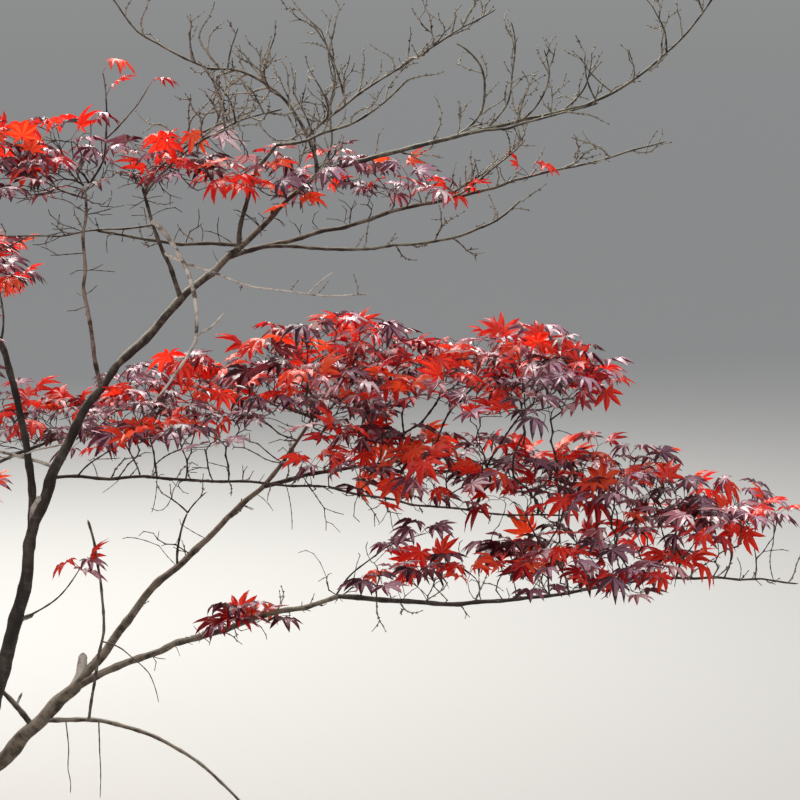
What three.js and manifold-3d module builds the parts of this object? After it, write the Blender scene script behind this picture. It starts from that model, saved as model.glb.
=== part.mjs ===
// A Japanese maple, rooted in the ground: a short leaning trunk with a root flare, the stems and boughs
// that fork from it, and flat tiers of foliage at the ends of the boughs.
// Millimetres and degrees. The origin is the centre of the flat cut under the trunk, +Z is up, +X runs
// along the long low boughs, and +Y runs away from the side that the tree is looked at from.
import * as THREE from "three";
import { mergeVertices } from "three/addons/utils/BufferGeometryUtils.js";
import Module from "manifold-3d";

const wasm = await Module();
wasm.setup();

// Clearance between one solid and the next
const GAP = 0.3;

// The trunk starts upright on its flat cut and leans over towards the fork. Near its foot it spreads by
// the flare, which dies away over its height and stands out in lobes above the roots.
const TRUNK = { turn: [0, 0], rise: [90, 64], length: 265, thick: [88, 64] };
const FLARE = { spread: 22, height: 75, lobes: 5, lobe_depth: 0.22, rings: 3 };

// Each limb leaves the limb that it is on at a share of that one's length. Its turn from +X towards +Y,
// its rise above level and how thick it is across are each given at its foot and at its tip.
const LIMBS = {
  low_bough: { on: ["trunk", 0.97], turn: [-10, 2], rise: [51, 42], length: 365, thick: [36, 24] },
  right_stem: { on: ["trunk", 0.97], turn: [-22, -32], rise: [58, 80], length: 610, thick: [34, 21] },
  leader: { on: ["right_stem", 0.99], turn: [22, 4], rise: [70, 51], length: 285, thick: [19, 16] },
  leader_top: { on: ["leader", 0.99], turn: [8, 16], rise: [43, 42], length: 445, thick: [16, 10.5] },
  left_leader: { on: ["right_stem", 0.98], turn: [126, 174], rise: [84, 61], length: 450, thick: [15, 11] },
  left_top: { on: ["left_leader", 0.99], turn: [172, 132], rise: [62, 78], length: 490, thick: [11, 6] },
  mid_bough: { on: ["leader", 0.22], turn: [27, 6], rise: [-4, -6], length: 470, thick: [8.5, 6] },
  low_bough_rise: { on: ["low_bough", 0.99], turn: [13, 14], rise: [55, 36], length: 455, thick: [17, 11] },
  low_fork_up: { on: ["low_bough_rise", 0.98], turn: [18, 17], rise: [45, 60], length: 145, thick: [9, 6] },
  low_fork_right: { on: ["low_bough_rise", 0.98], turn: [18, 9], rise: [16, 1], length: 250, thick: [9, 6] },
  under_bough: { on: ["low_bough", 0.98], turn: [-11, -5], rise: [27, 14], length: 480, thick: [15, 9.5] },
  under_outer: { on: ["under_bough", 0.99], turn: [-3, 11], rise: [-9, 11], length: 425, thick: [9.5, 6.5] },
  under_tip: { on: ["under_outer", 0.98], turn: [6, 6], rise: [11, -11], length: 350, thick: [6.5, 3.6] },
  drooping_arm: { on: ["low_bough", 0.72], turn: [-18, -11], rise: [17, -60], length: 450, thick: [9.5, 5] },
  snag_shoot: { on: ["drooping_arm", 0.2], turn: [-75, 56], rise: [59, 112], length: 360, thick: [6, 5] },
  upright_shoot: { on: ["leader", 0.82], turn: [231, 185], rise: [76, 96], length: 320, thick: [9, 5.5] },
  left_arm: { on: ["leader_top", 0.6], turn: [195, 188], rise: [3, 11], length: 235, thick: [7.4, 5.2] },
  crown_arm: { on: ["leader_top", 0.32], turn: [233, 152], rise: [63, 77], length: 200, thick: [9.4, 5.6] },
  spreader: { on: ["leader_top", 0.57], turn: [13, 1], rise: [13, 15], length: 740, thick: [9.4, 3.6] },
  top_bough: { on: ["leader_top", 0.99], turn: [-6, 0], rise: [16, 12], length: 465, thick: [9.8, 6] },
  top_tip: { on: ["top_bough", 0.98], turn: [-3, 0], rise: [21, 67], length: 320, thick: [6, 3] },
  arch_bough: { on: ["leader_top", 0.99], turn: [134, 190], rise: [83, -3], length: 290, thick: [7.4, 4.8] },
  arch_tip: { on: ["arch_bough", 0.98], turn: [162, 184], rise: [11, 73], length: 260, thick: [4.8, 3] },
  rising_bough: { on: ["arch_bough", 0.22], turn: [-17, 2], rise: [38, 28], length: 365, thick: [5.6, 3] },
};

// Stems on the sides away from the long boughs. Each leans out, turns up into its high tier of foliage
// and carries one level arm into a low tier. They sway from side to side by their weave.
const FAR_STEMS = {
  count: 3,
  heading: 110,
  spread: 74,
  stem: { on: ["trunk", 0.9], swing: -12, rise: [48, 78], length: 1010, weave: 9, thick: [32, 11] },
  longer: [0, 80, -40],
  arm: { at: 0.36, swing: 20, rise: [26, 0], length: 480, weave: 6, thick: [14, 8] },
  low_tier: { reach: 165, lift: 42, half: [300, 345, 74] },
  high_tier: { reach: 20, lift: 36, half: [285, 325, 84] },
};

// Between one far stem and the next an arm carries a middle tier, turned away from its own stem
const MIDDLE_ARMS = {
  count: 2,
  turn: 37,
  arm: { at: 0.56, swing: -14, rise: [34, 10], length: 360, weave: 6, thick: [12, 7] },
  tier: { reach: 150, lift: 30, half: [270, 300, 70] },
};

// One more arm comes back from the first far stem to the inner end of the long tiers
const INNER_ARM = { on: ["far_stem_1", 0.56], turn: [-24, -14], rise: [46, 14], length: 400, thick: [10, 6] };

// How often a weaving limb sways along its length
const WEAVES = 1.5;

// Each mass of foliage is set out from a point of the limb that carries it, with half sizes on X, Y and Z
const MASSES = {
  mid_left: { on: ["inner_arm", 1], shift: [-40, -10, 26], half: [135, 170, 54] },
  mid_inner: { on: ["leader", 0.75], shift: [131, 105, -35], half: [152, 255, 82] },
  mid_centre: { on: ["low_fork_up", 1], shift: [36, -25, 66], half: [165, 295, 108] },
  mid_outer: { on: ["low_fork_up", 1], shift: [320, -25, 74], half: [225, 275, 84] },
  mid_lower: { on: ["low_fork_right", 1], shift: [16, -70, 2], half: [210, 215, 58] },
  right_upper: { on: ["low_fork_right", 1], shift: [266, -90, -24], half: [218, 205, 56] },
  right_tip: { on: ["low_fork_right", 1], shift: [512, -110, -78], half: [150, 185, 58] },
  right_lower: { on: ["under_outer", 1], shift: [-10, 40, 32], half: [195, 195, 58] },
  under_inner: { on: ["under_outer", 0.3], shift: [0, 50, 34], half: [124, 105, 36] },
  under_spray: { on: ["under_bough", 0.68], shift: [0, 6, -6], half: [80, 64, 50] },
  upper_left: { on: ["upright_shoot", 1], shift: [-74, 30, 38], half: [108, 190, 80] },
  upper_mid: { on: ["crown_arm", 1], shift: [22, 5, 24], half: [158, 165, 56] },
  upper_right: { on: ["leader_top", 0.96], shift: [-14, 20, -2], half: [125, 155, 50] },
  upper_outer: { on: ["spreader", 0.36], shift: [6, 20, 36], half: [108, 135, 50] },
  crown_top: { on: ["left_top", 1], shift: [-70, 30, 50], half: [265, 300, 96] },
  crown_back: { on: ["left_top", 0.5], shift: [-120, 215, 14], half: [225, 250, 74] },
  crown_side: { on: ["left_top", 0.5], shift: [-330, 0, -8], half: [215, 250, 72] },
  crown_front: { on: ["left_top", 0.5], shift: [-60, -205, 30], half: [212, 245, 72] },
};

// How uneven a mass is: the waves round its rim and over its face, as shares of its size, and the share of
// its height that its underside keeps
const UNEVEN = { rim_waves: 3, rim_depth: 0.1, face_waves: 5, face_depth: 0.08, under: 0.86 };
const MASS_DETAIL = 2;
const SEED_STEP = 1.7;

// How finely limbs are worked out and faceted: angles per ring of vertices, and the sides of a thick limb,
// one over the given diameter, and of a slim one
const LIMB_STEPS = 48;
const TURN_PER_RING = 18;
const FEWEST_RINGS = 3;
const THICK = 20;
const THICK_SIDES = 8;
const SLIM_SIDES = 5;

const BARK = { color: 0x4a3a30, roughness: 0.9, metalness: 0 };
const FOLIAGE = { color: 0x9c2430, roughness: 0.75, metalness: 0 };

const UP = new THREE.Vector3(0, 0, 1);
const { degToRad, lerp } = THREE.MathUtils;

function anglesAt(limb, share) {
  const sway = (limb.weave ?? 0) * Math.sin(2 * Math.PI * WEAVES * share);
  return { turn: lerp(...limb.turn, share) + sway, rise: lerp(...limb.rise, share) + sway / 2 };
}

// The direction of growth, and the two directions square to it
function axesAt(limb, share) {
  const { turn, rise } = anglesAt(limb, share);
  const level = new THREE.Vector3(1, 0, 0).applyAxisAngle(UP, degToRad(turn));
  const side = new THREE.Vector3().crossVectors(UP, level);
  const along = level.applyAxisAngle(side, -degToRad(rise));
  return { along, side, over: new THREE.Vector3().crossVectors(along, side) };
}

// The centre line: a row of places, each one step of growth on from the last
function centreLine(limb) {
  const places = [limb.start];
  for (let i = 0; i < LIMB_STEPS; i++) {
    const { along } = axesAt(limb, (i + 0.5) / LIMB_STEPS);
    places.push(places[i].clone().addScaledVector(along, limb.length / LIMB_STEPS));
  }
  return places;
}

function placeOn([name, share]) {
  return limbs[name].places[Math.round(share * LIMB_STEPS)].clone();
}

// The trunk spreads into root lobes towards its foot
function flareAt(height, turn) {
  const near = Math.exp(-height / FLARE.height);
  return FLARE.spread * near * (1 + FLARE.lobe_depth * Math.cos(FLARE.lobes * turn));
}

// A straight cylinder of radius 1 and length 1, bent on to the limb's centre line, tapered, and made thicker
// and longer by the given extra
function limbGeometry(limb, extra) {
  const sides = limb.thick[0] > THICK ? THICK_SIDES : SLIM_SIDES;
  const turning = Math.abs(limb.turn[1] - limb.turn[0]) + Math.abs(limb.rise[1] - limb.rise[0]);
  const swaying = 4 * WEAVES * (limb.weave ?? 0);
  const rings = Math.max(FEWEST_RINGS, Math.ceil((turning + swaying) / TURN_PER_RING));
  const isTrunk = limb === limbs.trunk;
  const shape = isTrunk ? [2 * sides, rings + FLARE.rings] : [sides, rings];
  const geometry = new THREE.CylinderGeometry(1, 1, 1, ...shape);
  const vertices = geometry.getAttribute("position");
  for (let i = 0; i < vertices.count; i++) {
    const share = vertices.getY(i) + 0.5;
    const turn = Math.atan2(vertices.getZ(i), vertices.getX(i));
    const outward = Math.hypot(vertices.getZ(i), vertices.getX(i));
    const { along, side, over } = axesAt(limb, share);
    const flare = isTrunk ? flareAt(share * limb.length, turn) : 0;
    const radius = outward * (lerp(...limb.thick, share) / 2 + flare + extra);
    const end = share === 0 ? -1 : Math.floor(share);
    const vertex = limb.places[Math.round(share * LIMB_STEPS)]
      .clone()
      .addScaledVector(along, end * extra)
      .addScaledVector(over, radius * Math.cos(turn))
      .addScaledVector(side, radius * Math.sin(turn));
    vertices.setXYZ(i, ...vertex);
  }
  return geometry;
}

// A ball stretched to the mass's half sizes, with waves of its own from its seed, and flatter underneath
function massGeometry(mass, extra) {
  const half = new THREE.Vector3(...mass.half).addScalar(extra);
  const geometry = new THREE.IcosahedronGeometry(1, MASS_DETAIL);
  const vertices = geometry.getAttribute("position");
  for (let i = 0; i < vertices.count; i++) {
    const ball = new THREE.Vector3().fromBufferAttribute(vertices, i);
    const turn = Math.atan2(ball.y, ball.x);
    const rim = Math.sin(UNEVEN.rim_waves * turn + mass.seed) * (1 - Math.abs(ball.z));
    const acrossX = Math.sin(UNEVEN.face_waves * ball.x + 2 * mass.seed);
    const acrossY = Math.cos(UNEVEN.face_waves * ball.y - mass.seed);
    const swell = 1 + UNEVEN.rim_depth * rim + UNEVEN.face_depth * acrossX * acrossY;
    const height = ball.z < 0 ? UNEVEN.under : 1;
    const vertex = ball.multiply(half).multiplyScalar(swell).setZ(ball.z * height).add(mass.centre);
    vertices.setXYZ(i, ...vertex);
  }
  return geometry;
}

function solidOf(geometry) {
  geometry.deleteAttribute("normal");
  geometry.deleteAttribute("uv");
  const merged = mergeVertices(geometry, 1e-3);
  return new wasm.Manifold(
    new wasm.Mesh({
      numProp: 3,
      vertProperties: new Float32Array(merged.attributes.position.array),
      triVerts: new Uint32Array(merged.index.array),
    }),
  );
}

function largestBody(solid) {
  return solid.decompose().reduce((most, body) => (body.volume() > most.volume() ? body : most));
}

// The solid's surface as a mesh, with its own origin at the given place
function meshOf(name, solid, origin, look) {
  const { vertProperties, triVerts } = solid.getMesh();
  const geometry = new THREE.BufferGeometry();
  geometry.setAttribute("position", new THREE.BufferAttribute(vertProperties, 3));
  geometry.setIndex(new THREE.BufferAttribute(triVerts, 1));
  geometry.translate(...origin.clone().negate());
  const faceted = geometry.toNonIndexed();
  faceted.computeVertexNormals();
  const mesh = new THREE.Mesh(faceted, new THREE.MeshStandardMaterial(look));
  mesh.name = name;
  mesh.position.copy(origin);
  return mesh;
}

// The far stems, their arms and their tiers join the limbs and masses that are listed above
const limbs = { trunk: { ...TRUNK, start: new THREE.Vector3() }, ...LIMBS };
const masses = { ...MASSES };

function addFarLimb(name, limb, heading) {
  limbs[name] = { ...limb, turn: [heading, heading + limb.swing] };
}

function addFarTier(name, limb, tier, heading) {
  const outward = new THREE.Vector3(tier.reach, 0, tier.lift).applyAxisAngle(UP, degToRad(heading));
  masses[name] = { on: [limb, 1], shift: [...outward], half: tier.half };
}

for (let i = 0; i < FAR_STEMS.count; i++) {
  const heading = FAR_STEMS.heading + i * FAR_STEMS.spread;
  const stem = `far_stem_${i + 1}`;
  const arm = `far_arm_${i + 1}`;
  const length = FAR_STEMS.stem.length + FAR_STEMS.longer[i];
  addFarLimb(stem, { ...FAR_STEMS.stem, length }, heading);
  addFarLimb(arm, { ...FAR_STEMS.arm, on: [stem, FAR_STEMS.arm.at] }, heading - FAR_STEMS.arm.swing / 2);
  addFarTier(`low_tier_${i + 1}`, arm, FAR_STEMS.low_tier, heading);
  addFarTier(`high_tier_${i + 1}`, stem, FAR_STEMS.high_tier, heading);
}
for (let i = 0; i < MIDDLE_ARMS.count; i++) {
  const heading = FAR_STEMS.heading + i * FAR_STEMS.spread + MIDDLE_ARMS.turn;
  const arm = `middle_arm_${i + 1}`;
  addFarLimb(arm, { ...MIDDLE_ARMS.arm, on: [`far_stem_${i + 1}`, MIDDLE_ARMS.arm.at] }, heading);
  addFarTier(`middle_tier_${i + 1}`, arm, MIDDLE_ARMS.tier, heading);
}
limbs.inner_arm = INNER_ARM;

const tree = new THREE.Group();
const wood = new THREE.Group();
const crown = new THREE.Group();
tree.add(wood, crown);

// Each piece is cut clear of the whole of those before it, and keeps its largest body
const taken = [];
function addPiece(name, group, origin, look, geometryWith) {
  const whole = solidOf(geometryWith(0));
  const cut = taken.reduce((left, earlier) => left.subtract(earlier), whole);
  group.add(meshOf(name, largestBody(cut), origin, look));
  taken.push(solidOf(geometryWith(GAP)));
}

for (const [name, limb] of Object.entries(limbs)) {
  limb.start ??= placeOn(limb.on);
  limb.places = centreLine(limb);
  addPiece(name, wood, limb.start, BARK, (extra) => limbGeometry(limb, extra));
}

Object.entries(masses).forEach(([name, mass], index) => {
  mass.seed = SEED_STEP * index;
  mass.centre = placeOn(mass.on).add(new THREE.Vector3(...mass.shift));
  addPiece(name, crown, mass.centre, FOLIAGE, (extra) => massGeometry(mass, extra));
});

export default tree;
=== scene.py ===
import math

import bpy
import numpy as np
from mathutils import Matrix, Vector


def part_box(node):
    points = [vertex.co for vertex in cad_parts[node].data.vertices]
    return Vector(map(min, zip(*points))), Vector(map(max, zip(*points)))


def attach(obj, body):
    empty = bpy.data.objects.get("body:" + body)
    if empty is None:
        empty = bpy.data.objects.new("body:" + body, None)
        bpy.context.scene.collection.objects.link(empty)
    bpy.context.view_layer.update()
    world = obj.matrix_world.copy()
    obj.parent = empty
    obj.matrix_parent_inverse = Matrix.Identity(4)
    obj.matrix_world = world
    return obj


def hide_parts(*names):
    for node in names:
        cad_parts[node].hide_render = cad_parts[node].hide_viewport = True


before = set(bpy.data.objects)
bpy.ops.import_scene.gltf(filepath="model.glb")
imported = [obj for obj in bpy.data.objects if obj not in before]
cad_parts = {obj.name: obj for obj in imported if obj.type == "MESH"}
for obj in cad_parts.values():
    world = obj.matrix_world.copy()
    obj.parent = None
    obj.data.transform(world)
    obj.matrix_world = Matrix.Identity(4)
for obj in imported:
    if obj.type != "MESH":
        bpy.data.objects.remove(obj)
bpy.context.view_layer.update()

# The trunk: one short leaning bole that spreads into root lobes where it grows out of the ground. Its bark
# is dark grey-brown, partly its own hue and partly painted shade, with shallow upright fissures. The skin
# takes the frame's section ring by ring, with the fissures pressed in, and closes in a low dome under the
# feet of the stems.
UP = np.array([0.0, 0.0, 1.0])
TRUNK_RINGS = 120
TRUNK_SIDES = 128
TRUNK_FOOT = 0.0005
TRUNK_PASSES = 5
CROWN_RINGS = 10
CROWN_RISE = 0.030
CROWN_START = 0.022
FISSURE_DEPTH = 0.0030
FISSURES_ROUND = 17
FISSURE_WAVE = 0.04
# The pale tan of painted sunlight on the upper sides of the limbs.
PAINTED_SUN_HUE = (0.43, 0.375, 0.29)
LICHEN = (0.20, 0.215, 0.15)
# The stem bark's hues are dark partly of their own and partly as painted shade of stems that stand in
# shadow.
STEM_HUES = ((0.014, 0.010, 0.007), (0.047, 0.034, 0.025), (0.116, 0.096, 0.074))
FOOT_FADE = (0.06, 0.26)


class Flow:
    """One socket of a node tree. Sums on it add Math nodes, and make() adds any other node. Its inputs are
    named in the call, or in a dictionary where they have numbers or names of two words."""

    def __init__(self, tree, socket=None):
        self.tree = tree
        self.socket = socket

    def make(self, kind, settings=None, inputs=None, output=0, **named):
        node = self.tree.nodes.new(kind)
        for name, value in (settings or {}).items():
            setattr(node, name, value)
        for name, value in {**(inputs or {}), **named}.items():
            if isinstance(value, Flow):
                self.tree.links.new(value.socket, node.inputs[name])
            else:
                node.inputs[name].default_value = value
        return Flow(self.tree, node.outputs[output] if node.outputs else None)

    def math(self, operation, *terms):
        return self.make("ShaderNodeMath", {"operation": operation}, dict(enumerate(terms)))

    def named(self, kind, name):
        """The attribute of that name on the points or faces."""
        return self.make("GeometryNodeInputNamedAttribute", {"data_type": kind}, Name=name)

    def __add__(self, term):
        return self.math("ADD", self, term)

    def __sub__(self, term):
        return self.math("SUBTRACT", self, term)

    def __mul__(self, term):
        return self.math("MULTIPLY", self, term)

    def clamped(self, low, high):
        """0 under low and 1 over high, with an even rise between them."""
        ends = {"Value": self, "From Min": low, "From Max": high}
        return self.make("ShaderNodeMapRange", {"clamp": True}, ends)

    def tinted(self, low_colour, high_colour):
        """The first colour where this is 0 and the second where it is 1."""
        inputs = {0: self}
        for place, colour in ((6, low_colour), (7, high_colour)):
            inputs[place] = colour if isinstance(colour, Flow) else (*colour, 1)
        return self.make("ShaderNodeMix", {"data_type": "RGBA"}, inputs, output=2)


def finish_with(name, draw):
    """A material whose surface is the shader that draw() makes in its empty tree."""
    material = bpy.data.materials.new(name)
    material.use_nodes = True
    tree = material.node_tree
    tree.nodes.clear()
    flow = Flow(tree)
    flow.make("ShaderNodeOutputMaterial", Surface=draw(flow))
    return material


def bark(name, hues, patches, lichen, relief, sunlight_paint=0.0, drawn=1.0, foot=None):
    """Smooth bark of a dark, a middle and a pale hue: dark in its hollows, blotched with the pale one, and
    lichened on top, with painted sunlight that turns its upper sides pale in patches. Its blotches run
    upwards where drawn is under 1, and its hues start as the foot's where there is one."""

    def draw(flow):
        spot = flow.make("ShaderNodeTexCoord", output="Object")
        stretch = {0: spot, 1: (1, 1, drawn)}
        place = flow.make("ShaderNodeVectorMath", {"operation": "MULTIPLY"}, stretch)
        thick = flow.make("ShaderNodeAttribute", {"attribute_name": "thick"}, output="Fac")
        along = flow.make("ShaderNodeAttribute", {"attribute_name": "along"}, output="Fac")
        outward = flow.make("ShaderNodeNewGeometry", output="Normal")
        facing = flow.make("ShaderNodeSeparateXYZ", inputs={0: outward}, output="Z")
        coarse = flow.make("ShaderNodeTexNoise", Vector=place, Scale=46.0, Detail=7.0)
        fine = flow.make("ShaderNodeTexNoise", Vector=place, Scale=260.0, Detail=4.0)
        pores = flow.make("ShaderNodeTexVoronoi", Vector=place, Scale=190.0)
        rings = flow.make("ShaderNodeTexNoise", {"noise_dimensions": "1D"}, W=along, Scale=130.0, Detail=3.0)
        blotch = (coarse + fine * 0.35 + rings * 0.25).clamped(0.96 - patches, 1.22 - patches)
        dark, mid, pale = hues
        if foot:
            own = along.clamped(*FOOT_FADE)
            dark, mid, pale = (own.tinted(low, high) for low, high in zip(foot, hues))
        skin = coarse.clamped(0.35, 0.62).tinted(dark, mid)
        mottled = blotch.tinted(skin, pale)
        upper = facing.clamped(-0.1, 0.9)
        crust = (fine * 0.6 + coarse * 0.6 + upper * 0.3).clamped(0.86 - lichen, 0.98 - lichen)
        # Painted sunlight: upward faces, broken into patches by the coarse noise, turn towards the pale
        # sunlit hue.
        sun_patch_mask = (upper + coarse * 0.9).clamped(0.85, 1.25)
        sun_painted = (sun_patch_mask * sunlight_paint).tinted(mottled, PAINTED_SUN_HUE)
        crusted = (crust * upper * 0.75).tinted(sun_painted, LICHEN)
        pore = (pores.clamped(0.10, 0.22) * -1 + 1) * thick.clamped(0.002, 0.012)
        height = coarse * 0.8 + fine * 0.35 + rings * 0.5 - pore * 0.2
        bump = flow.make("ShaderNodeBump", Strength=0.85, Distance=relief, Height=height)
        rough = fine.clamped(0.0, 1.0) * 0.25 + 0.62
        colour = {"Base Color": (pore * 0.5).tinted(crusted, hues[0])}
        return flow.make("ShaderNodeBsdfPrincipled", inputs=colour, Roughness=rough, Normal=bump)

    return finish_with(name, draw)


# The stems' upper sides are lightened a little with painted sunlight.
stem_bark = bark("stem_bark", STEM_HUES, patches=0.16, lichen=0.03, relief=0.0022, sunlight_paint=0.22, drawn=0.35)


def triangles_of(node):
    """The corners of a frame node's triangles: triangle, corner, coordinate."""
    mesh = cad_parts[node].data
    mesh.calc_loop_triangles()
    corners = np.empty(len(mesh.vertices) * 3, np.float32)
    mesh.vertices.foreach_get("co", corners)
    picked = np.empty(len(mesh.loop_triangles) * 3, np.int32)
    mesh.loop_triangles.foreach_get("vertices", picked)
    return corners.reshape(-1, 3)[picked].reshape(-1, 3, 3).astype(float)


def rim_at(triangles, place, along, reach=math.inf):
    """The points where the plane at place, square to along, cuts the edges that lie within reach."""
    height = (triangles - place) @ along
    cuts = []
    for start, end in ((0, 1), (1, 2), (2, 0)):
        cut = height[:, start] * height[:, end] < 0
        share = (height[cut, start] / (height[cut, start] - height[cut, end]))[:, None]
        cuts.append(triangles[cut, start] * (1 - share) + triangles[cut, end] * share)
    rim = np.concatenate(cuts)
    return rim[np.linalg.norm(rim - place, axis=1) < reach]


def length_of(vectors):
    return np.linalg.norm(vectors, axis=-1)


def unit(vectors):
    return vectors / np.maximum(length_of(vectors), 1e-9)[..., None]


def object_of(name, data):
    """An object of the scene with that data."""
    made = bpy.data.objects.new(name, data)
    bpy.context.scene.collection.objects.link(made)
    return made


def piece_of(name, vertices, faces, material):
    """A smooth mesh object from vertices and faces, ready to be a piece."""
    mesh = bpy.data.meshes.new(name)
    mesh.from_pydata(vertices, [], faces)
    mesh.validate()
    mesh.shade_smooth()
    mesh.materials.append(material)
    return object_of(name, mesh)


def mark(mesh, name, kind, values):
    """Gives each point of a mesh its value in a new attribute."""
    attribute = mesh.attributes.new(name, kind, "POINT")
    slot = "vector" if kind == "FLOAT_VECTOR" else "value"
    number = np.int32 if kind == "INT" else np.float32
    attribute.data.foreach_set(slot, np.ravel(values).astype(number))


def ease(values):
    """Draws each of the values, apart from the first and the last, towards the ones beside it."""
    values[1:-1] = (values[:-2] + 2 * values[1:-1] + values[2:]) / 4


def trunk_skin():
    """Rings round the trunk, each with the radius that the frame's wood has at that height and turn."""
    triangles = triangles_of("trunk")
    low, high = (np.array(corner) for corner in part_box("trunk"))
    turns = np.linspace(0, 2 * math.pi, TRUNK_SIDES, endpoint=False)
    centres, radii = [], []
    for height in np.linspace(low[2] + TRUNK_FOOT, high[2] - CROWN_START, TRUNK_RINGS):
        rim = rim_at(triangles, np.array([0, 0, height]), UP)
        centre = rim.mean(0)
        off = rim - centre
        angle = np.arctan2(off[:, 1], off[:, 0])
        order = np.argsort(angle)
        centres.append(centre)
        radii.append(np.interp(turns, angle[order], length_of(off)[order], period=2 * math.pi))
    centres, radii = np.array(centres), np.array(radii)
    for _ in range(TRUNK_PASSES):
        radii = (np.roll(radii, 1, axis=1) + 2 * radii + np.roll(radii, -1, axis=1)) / 4
        ease(centres)
        ease(radii)
    climb = centres[:, 2:3] / FISSURE_WAVE
    wander = np.sin(climb * 1.3) + 0.6 * np.sin(climb * 2.9 + 1)
    fissures = np.sin(FISSURES_ROUND * turns + wander) * np.sin(3 * turns + climb * 0.7)
    grooves = np.abs(np.sin(8 * turns + 2 * wander))
    ridges = np.abs(np.sin(FISSURES_ROUND * turns - 1.7 * wander + 2))
    broken = 0.5 + 0.5 * np.sin(5 * turns - climb * 1.1)
    radii += FISSURE_DEPTH * (fissures - 0.4 * grooves + 0.5 * ridges * broken)
    closing = np.linspace(0, 1, CROWN_RINGS + 1)[1:, None]
    radii = np.vstack([radii, radii[-1] * np.sqrt(1 - 0.99 * closing**2)])
    centres = np.vstack([centres, centres[-1] + CROWN_RISE * closing * unit(centres[-1] - centres[-9])])
    rings = centres[:, None] + radii[..., None] * np.stack([np.cos(turns), np.sin(turns), 0 * turns], 1)
    rings[0, :, 2] = 0.0
    return rings, centres, radii.mean(1)


def tube_faces(rings, sides):
    """Quads between rings of sides vertices, and a flat face at each end."""
    faces = []
    for ring in range(rings - 1):
        for side in range(sides):
            a = ring * sides + side
            b = ring * sides + (side + 1) % sides
            faces.append((a, b, b + sides, a + sides))
    faces.append(tuple(range(sides))[::-1])
    faces.append(tuple(range((rings - 1) * sides, rings * sides)))
    return faces


trunk_rings, trunk_places, trunk_radii = trunk_skin()
trunk_faces = tube_faces(TRUNK_RINGS + CROWN_RINGS, TRUNK_SIDES)
trunk = piece_of("bark_trunk", trunk_rings.reshape(-1, 3), trunk_faces, stem_bark)
mark(trunk.data, "thick", "FLOAT", np.repeat(trunk_radii, TRUNK_SIDES))
mark(trunk.data, "along", "FLOAT", np.repeat(trunk_places[:, 2], TRUNK_SIDES))
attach(trunk, "root")
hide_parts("trunk")

# The stems and boughs: tapering limbs of round wood that fork from the trunk and from each other. Each one's
# line and taper are read from the frame. It starts in the heart of the limb that carries it, with a collar,
# sways and kinks a little on its way, and swells at its nodes. A row has a limb and those that it carries.
LIMBS_ON = (
    ("trunk", "low_bough", "right_stem"),
    ("right_stem", "leader", "left_leader"),
    ("leader", "leader_top", "mid_bough", "upright_shoot"),
    ("left_leader", "left_top"),
    ("low_bough", "low_bough_rise", "under_bough", "drooping_arm"),
    ("low_bough_rise", "low_fork_up", "low_fork_right"),
    ("under_bough", "under_outer"),
    ("under_outer", "under_tip"),
    ("drooping_arm", "snag_shoot"),
    ("leader_top", "left_arm", "crown_arm", "spreader", "top_bough", "arch_bough"),
    ("top_bough", "top_tip"),
    ("arch_bough", "arch_tip", "rising_bough"),
    ("trunk", "far_stem_1", "far_stem_2", "far_stem_3"),
    *((f"far_stem_{i}", f"far_arm_{i}") for i in (1, 2, 3)),
    *((f"far_stem_{i}", f"middle_arm_{i}") for i in (1, 2)),
    ("far_stem_1", "inner_arm"),
)
RING_STEP = 0.006
SLICE_STEP = 0.012
FIRST_SLICE = 0.3
LAST_SLICE = 0.97
FOOT_MARGIN = 1.3
LEAST_PLACES = 6
RIM_REACH = 0.045
BACK_REACH = 0.06
LINE_PASSES = 60
SWAY = 0.0022
SWAY_WAVE = (0.09, 0.26)
SWAYS = 4
SWAY_FADE = 0.06
KINK = 0.0021
KINK_SPACING = (0.028, 0.060)
NODE_SPACING = (0.055, 0.105)
DEPTH = 1.3
NODE_SWELL = 0.30
NODE_LENGTH = 0.004
STOUT = 0.008
COLLAR = (0.30, 2.5)
STEM_COLLAR = (0.85, 4.0)
SLIM_LIMB = 0.007
SLIM_LIMB_SPACING = (0.028, 0.05)
SIDES_PER_METRE = 1400
LIMB_SIDES = (10, 28)
SLIMMED = 0.80
SLIMMED_OTHERWISE = {
    "right_stem": 0.88,
    "low_bough": 0.84,
    "leader_top": 0.76,
    "top_bough": 0.74,
    "mid_bough": 0.64,
}


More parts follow.
